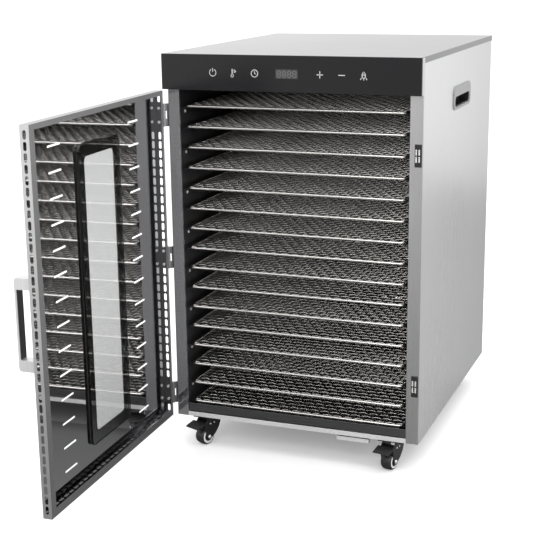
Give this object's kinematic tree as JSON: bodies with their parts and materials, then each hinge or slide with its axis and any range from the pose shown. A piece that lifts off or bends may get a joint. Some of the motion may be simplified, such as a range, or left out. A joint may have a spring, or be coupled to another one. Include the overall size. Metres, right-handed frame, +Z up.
{
  "type": "food dehydrator",
  "caption": "Tall stainless steel tray food dehydrator on braked castors, with a hinged vented door and window, sliding wire mesh trays, drip tray, rear fans and a black touch control head.",
  "frame": {"origin": "on the floor, under the middle of the whole object's box with its door open at rest", "axes": "+Z up, +Y from the door towards the back, +X from the hinge side towards the latch side"},
  "size_m": [0.4716, 0.9589, 0.682],
  "materials": {
    "brushed_steel": "fine brushed stainless sheet",
    "door_steel": "stainless sheet, mirror polished on its inner side",
    "polished_steel": "polished stainless",
    "handle_steel": "satin stainless, black lined grip",
    "screw_steel": "bright stainless fasteners",
    "dark_steel": "dark reflective stainless",
    "tray_wire": "bright drawn stainless wire",
    "fan_metal": "pressed aluminium",
    "heater_sheath": "heat-tinted sheath",
    "black_liner": "black enamelled liner",
    "black_metal": "black powder coat",
    "black_glass": "black back-printed touch glass",
    "clear_glass": "clear float glass",
    "black_seal": "black silicone seal",
    "black_plastic": "black moulded plastic",
    "grey_plastic": "grey moulded plastic",
    "lamp_cover": "opal lamp cover",
    "ceramic": "cream ceramic holder",
    "circuit_board": "green board with dark components",
    "castor_wheel": "black tread on a grey-ringed hub"
  },
  "bodies": {
    "cabinet": {"left_side_panel": "brushed_steel", "right_side_panel": "brushed_steel", "top_cover": "brushed_steel", "back_panel": "brushed_steel", "base_panel": "brushed_steel", "control_housing": "brushed_steel", "control_glass": "black_glass", "control_board": "circuit_board", "inner_side_walls": "black_liner", "tray_rails": "black_liner", "inner_ceiling": "black_liner", "inner_floor": "dark_steel", "fan_baffle": "black_liner", "fan_motors": "dark_steel", "heater_elements": "heater_sheath", "thermal_sensor": "ceramic", "power_inlet": "black_plastic", "interior_lamp": "lamp_cover", "magnetic_catches": "black_plastic", "side_handles": "grey_plastic", "cabinet_hinge_leaves": "polished_steel", "castor_plates": "black_metal", "cabinet_screws": "screw_steel"},
    "door": {"door_pan": "door_steel", "door_glass": "clear_glass", "window_gasket": "black_seal", "door_handle": "handle_steel", "door_hinge_leaves": "polished_steel", "door_screws": "screw_steel"},
    "tray_01_body": {"tray_01": "tray_wire"},
    "tray_02_body": {"tray_02": "tray_wire"},
    "tray_03_body": {"tray_03": "tray_wire"},
    "tray_04_body": {"tray_04": "tray_wire"},
    "tray_05_body": {"tray_05": "tray_wire"},
    "tray_06_body": {"tray_06": "tray_wire"},
    "tray_07_body": {"tray_07": "tray_wire"},
    "tray_08_body": {"tray_08": "tray_wire"},
    "tray_09_body": {"tray_09": "tray_wire"},
    "tray_10_body": {"tray_10": "tray_wire"},
    "tray_11_body": {"tray_11": "tray_wire"},
    "tray_12_body": {"tray_12": "tray_wire"},
    "tray_13_body": {"tray_13": "tray_wire"},
    "tray_14_body": {"tray_14": "tray_wire"},
    "tray_15_body": {"tray_15": "tray_wire"},
    "tray_16_body": {"tray_16": "tray_wire"},
    "drip_tray_body": {"drip_tray": "dark_steel"},
    "lower_fan": {"lower_fan_rotor": "fan_metal"},
    "upper_fan": {"upper_fan_rotor": "fan_metal"},
    "front_left_castor": {"front_left_fork": "black_metal"},
    "front_left_castor_wheel": {"front_left_wheel": "castor_wheel"},
    "front_left_castor_brake": {"front_left_brake": "black_metal"},
    "front_right_castor": {"front_right_fork": "black_metal"},
    "front_right_castor_wheel": {"front_right_wheel": "castor_wheel"},
    "front_right_castor_brake": {"front_right_brake": "black_metal"},
    "rear_left_castor": {"rear_left_fork": "black_metal"},
    "rear_left_castor_wheel": {"rear_left_wheel": "castor_wheel"},
    "rear_left_castor_brake": {"rear_left_brake": "black_metal"},
    "rear_right_castor": {"rear_right_fork": "black_metal"},
    "rear_right_castor_wheel": {"rear_right_wheel": "castor_wheel"},
    "rear_right_castor_brake": {"rear_right_brake": "black_metal"}
  },
  "joints": [
    {"name": "door_hinge", "type": "hinge", "parent": "cabinet", "child": "door", "pos_m": [-0.20488, -0.0383, 0.3375], "axis": [0, 0, -1], "range_deg": [-87.9, 92.1]},
    {"name": "tray_01_slide", "type": "slide", "parent": "cabinet", "child": "tray_01_body", "axis": [0, -1, 0], "range_m": [0, 0.35]},
    {"name": "tray_02_slide", "type": "slide", "parent": "cabinet", "child": "tray_02_body", "axis": [0, -1, 0], "range_m": [0, 0.35]},
    {"name": "tray_03_slide", "type": "slide", "parent": "cabinet", "child": "tray_03_body", "axis": [0, -1, 0], "range_m": [0, 0.35]},
    {"name": "tray_04_slide", "type": "slide", "parent": "cabinet", "child": "tray_04_body", "axis": [0, -1, 0], "range_m": [0, 0.35]},
    {"name": "tray_05_slide", "type": "slide", "parent": "cabinet", "child": "tray_05_body", "axis": [0, -1, 0], "range_m": [0, 0.35]},
    {"name": "tray_06_slide", "type": "slide", "parent": "cabinet", "child": "tray_06_body", "axis": [0, -1, 0], "range_m": [0, 0.35]},
    {"name": "tray_07_slide", "type": "slide", "parent": "cabinet", "child": "tray_07_body", "axis": [0, -1, 0], "range_m": [0, 0.35]},
    {"name": "tray_08_slide", "type": "slide", "parent": "cabinet", "child": "tray_08_body", "axis": [0, -1, 0], "range_m": [0, 0.35]},
    {"name": "tray_09_slide", "type": "slide", "parent": "cabinet", "child": "tray_09_body", "axis": [0, -1, 0], "range_m": [0, 0.35]},
    {"name": "tray_10_slide", "type": "slide", "parent": "cabinet", "child": "tray_10_body", "axis": [0, -1, 0], "range_m": [0, 0.35]},
    {"name": "tray_11_slide", "type": "slide", "parent": "cabinet", "child": "tray_11_body", "axis": [0, -1, 0], "range_m": [0, 0.35]},
    {"name": "tray_12_slide", "type": "slide", "parent": "cabinet", "child": "tray_12_body", "axis": [0, -1, 0], "range_m": [0, 0.35]},
    {"name": "tray_13_slide", "type": "slide", "parent": "cabinet", "child": "tray_13_body", "axis": [0, -1, 0], "range_m": [0, 0.35]},
    {"name": "tray_14_slide", "type": "slide", "parent": "cabinet", "child": "tray_14_body", "axis": [0, -1, 0], "range_m": [0, 0.35]},
    {"name": "tray_15_slide", "type": "slide", "parent": "cabinet", "child": "tray_15_body", "axis": [0, -1, 0], "range_m": [0, 0.35]},
    {"name": "tray_16_slide", "type": "slide", "parent": "cabinet", "child": "tray_16_body", "axis": [0, -1, 0], "range_m": [0, 0.35]},
    {"name": "drip_tray_slide", "type": "slide", "parent": "cabinet", "child": "drip_tray_body", "axis": [0, -1, 0], "range_m": [0, 0.35]},
    {"name": "lower_fan_spin", "type": "hinge", "parent": "cabinet", "child": "lower_fan", "pos_m": [0.01732, 0.3877, 0.214], "axis": [0, 1, 0], "continuous": true},
    {"name": "upper_fan_spin", "type": "hinge", "parent": "cabinet", "child": "upper_fan", "pos_m": [0.01732, 0.3877, 0.476], "axis": [0, 1, 0], "continuous": true},
    {"name": "front_left_castor_swivel", "type": "hinge", "parent": "cabinet", "child": "front_left_castor", "pos_m": [-0.15018, -0.0133, 0.051], "axis": [0, 0, 1], "continuous": true},
    {"name": "front_left_castor_roll", "type": "hinge", "parent": "front_left_castor", "child": "front_left_castor_wheel", "pos_m": [-0.15393, -0.02257, 0.0155], "axis": [0.9272, -0.3746, 0], "continuous": true},
    {"name": "front_left_castor_brake_press", "type": "hinge", "parent": "front_left_castor", "child": "front_left_castor_brake", "pos_m": [-0.15281, -0.01979, 0.039], "axis": [0.9272, -0.3746, 0], "range_deg": [0, 13]},
    {"name": "front_right_castor_swivel", "type": "hinge", "parent": "cabinet", "child": "front_right_castor", "pos_m": [0.18482, -0.0133, 0.051], "axis": [0, 0, 1], "continuous": true},
    {"name": "front_right_castor_roll", "type": "hinge", "parent": "front_right_castor", "child": "front_right_castor_wheel", "pos_m": [0.18257, -0.02304, 0.0155], "axis": [0.9744, -0.225, 0], "continuous": true},
    {"name": "front_right_castor_brake_press", "type": "hinge", "parent": "front_right_castor", "child": "front_right_castor_brake", "pos_m": [0.18324, -0.02012, 0.039], "axis": [0.9744, -0.225, 0], "range_deg": [0, 13]},
    {"name": "rear_left_castor_swivel", "type": "hinge", "parent": "cabinet", "child": "rear_left_castor", "pos_m": [-0.15018, 0.4467, 0.051], "axis": [0, 0, 1], "continuous": true},
    {"name": "rear_left_castor_roll", "type": "hinge", "parent": "rear_left_castor", "child": "rear_left_castor_wheel", "pos_m": [-0.1536, 0.4373, 0.0155], "axis": [0.9397, -0.342, 0], "continuous": true},
    {"name": "rear_left_castor_brake_press", "type": "hinge", "parent": "rear_left_castor", "child": "rear_left_castor_brake", "pos_m": [-0.15258, 0.44012, 0.039], "axis": [0.9397, -0.342, 0], "range_deg": [0, 13]},
    {"name": "rear_right_castor_swivel", "type": "hinge", "parent": "cabinet", "child": "rear_right_castor", "pos_m": [0.18482, 0.4467, 0.051], "axis": [0, 0, 1], "continuous": true},
    {"name": "rear_right_castor_roll", "type": "hinge", "parent": "rear_right_castor", "child": "rear_right_castor_wheel", "pos_m": [0.18223, 0.43704, 0.0155], "axis": [0.9659, -0.2588, 0], "continuous": true},
    {"name": "rear_right_castor_brake_press", "type": "hinge", "parent": "rear_right_castor", "child": "rear_right_castor_brake", "pos_m": [0.183, 0.43994, 0.039], "axis": [0.9659, -0.2588, 0], "range_deg": [0, 13]}
  ]
}
